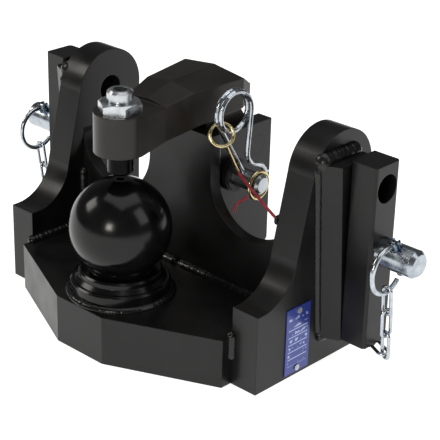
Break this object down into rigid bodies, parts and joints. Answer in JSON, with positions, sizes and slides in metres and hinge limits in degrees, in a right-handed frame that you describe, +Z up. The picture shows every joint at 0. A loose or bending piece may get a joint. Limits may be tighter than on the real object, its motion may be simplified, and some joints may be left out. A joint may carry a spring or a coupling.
{
  "type": "ball hitch carriage",
  "caption": "Height-adjustable tractor ball hitch: a ball on a plate between two slide-block cheeks, with a swinging hold-down arm, set screw and ring-locked pins.",
  "frame": {"origin": "centre of the coupling ball", "axes": "+Z up, +X to the right, +Y towards the towing vehicle (the back); millimetre sizes, metres in the record"},
  "size_m": [0.428, 0.1825, 0.206],
  "materials": {
    "black_paint": "semi-gloss black paint",
    "ball_paint": "gloss black paint",
    "arm_paint": "semi-gloss black paint",
    "bright_zinc": "bright zinc plating",
    "zinc_pin": "bright zinc plating",
    "linch_zinc": "blue zinc plating",
    "yellow_zinc": "yellow zinc plating",
    "red_cord": "satin plastic sheath",
    "blue_plate": "blue printed face"
  },
  "bodies": {
    "carriage": {"base_plate": "black_paint", "ball_stud": "ball_paint", "ball_weld_ring": "black_paint", "left_cheek": "black_paint", "right_cheek": "black_paint", "left_spacer": "black_paint", "right_spacer": "black_paint", "left_slide_block": "black_paint", "right_slide_block": "black_paint", "cross_plate": "black_paint", "left_side_plate": "black_paint", "right_side_plate": "black_paint", "cross_pin_collars": "black_paint", "hinge_pin": "black_paint", "plate_weld_beads": "black_paint", "bracket_weld_beads": "black_paint", "slide_weld_beads": "black_paint", "tether": "red_cord", "tether_anchor": "black_paint", "left_chain": "bright_zinc", "right_chain": "bright_zinc", "left_chain_eye": "black_paint", "right_chain_eye": "black_paint", "type_plate": "blue_plate", "type_plate_rivets": "bright_zinc"},
    "hold_down": {"hold_down_arm": "arm_paint", "hold_down_tail": "arm_paint"},
    "set_screw": {"set_screw": "bright_zinc"},
    "lock_nut": {"lock_nut": "bright_zinc"},
    "cross_pin": {"cross_pin": "bright_zinc", "pin_eye": "yellow_zinc", "pin_eye_tail": "red_cord"},
    "spring_clip": {"spring_clip": "bright_zinc", "tether_eye": "yellow_zinc"},
    "left_locking_pin": {"left_locking_pin": "zinc_pin"},
    "right_locking_pin": {"right_locking_pin": "zinc_pin"},
    "left_linch_pin": {"left_linch_pin": "linch_zinc"},
    "right_linch_pin": {"right_linch_pin": "linch_zinc"},
    "left_linch_ring": {"left_linch_ring": "bright_zinc"},
    "right_linch_ring": {"right_linch_ring": "bright_zinc"}
  },
  "joints": [
    {"name": "hold_down_swing", "type": "hinge", "parent": "carriage", "child": "hold_down", "pos_m": [0, 0.122, 0.044], "axis": [-1, 0, 0], "range_deg": [0, 85]},
    {"name": "set_screw_adjust", "type": "slide", "parent": "hold_down", "child": "set_screw", "axis": [0, 0, 1], "range_m": [-0.0035, 0.01]},
    {"name": "lock_nut_turn", "type": "hinge", "parent": "hold_down", "child": "lock_nut", "pos_m": [0, 0, 0.097], "axis": [0, 0, 1], "continuous": true},
    {"name": "cross_pin_play", "type": "slide", "parent": "carriage", "child": "cross_pin", "axis": [-1, 0, 0], "range_m": [0, 0.0055]},
    {"name": "spring_clip_pull", "type": "slide", "parent": "cross_pin", "child": "spring_clip", "axis": [0, -0.5299, 0.848], "range_m": [0, 0.04], "deforming": ["tether"]},
    {"name": "left_locking_pin_play", "type": "slide", "parent": "carriage", "child": "left_locking_pin", "axis": [1, 0, 0], "range_m": [0, 0.01], "deforming": ["left_chain"]},
    {"name": "left_linch_pin_pull", "type": "slide", "parent": "left_locking_pin", "child": "left_linch_pin", "axis": [0, -0.4226, 0.9063], "range_m": [0, 0.035], "deforming": ["left_linch_ring"]},
    {"name": "left_linch_ring_swing", "type": "hinge", "parent": "left_linch_pin", "child": "left_linch_ring", "pos_m": [-0.195, 0.08896, 0.02296], "axis": [-1, 0, 0], "range_deg": [0, 100]},
    {"name": "right_locking_pin_play", "type": "slide", "parent": "carriage", "child": "right_locking_pin", "axis": [-1, 0, 0], "range_m": [0, 0.01], "deforming": ["right_chain"]},
    {"name": "right_linch_pin_pull", "type": "slide", "parent": "right_locking_pin", "child": "right_linch_pin", "axis": [0, -0.4226, 0.9063], "range_m": [0, 0.035], "deforming": ["right_linch_ring"]},
    {"name": "right_linch_ring_swing", "type": "hinge", "parent": "right_linch_pin", "child": "right_linch_ring", "pos_m": [0.195, 0.08896, 0.02296], "axis": [-1, 0, 0], "range_deg": [0, 100]}
  ]
}
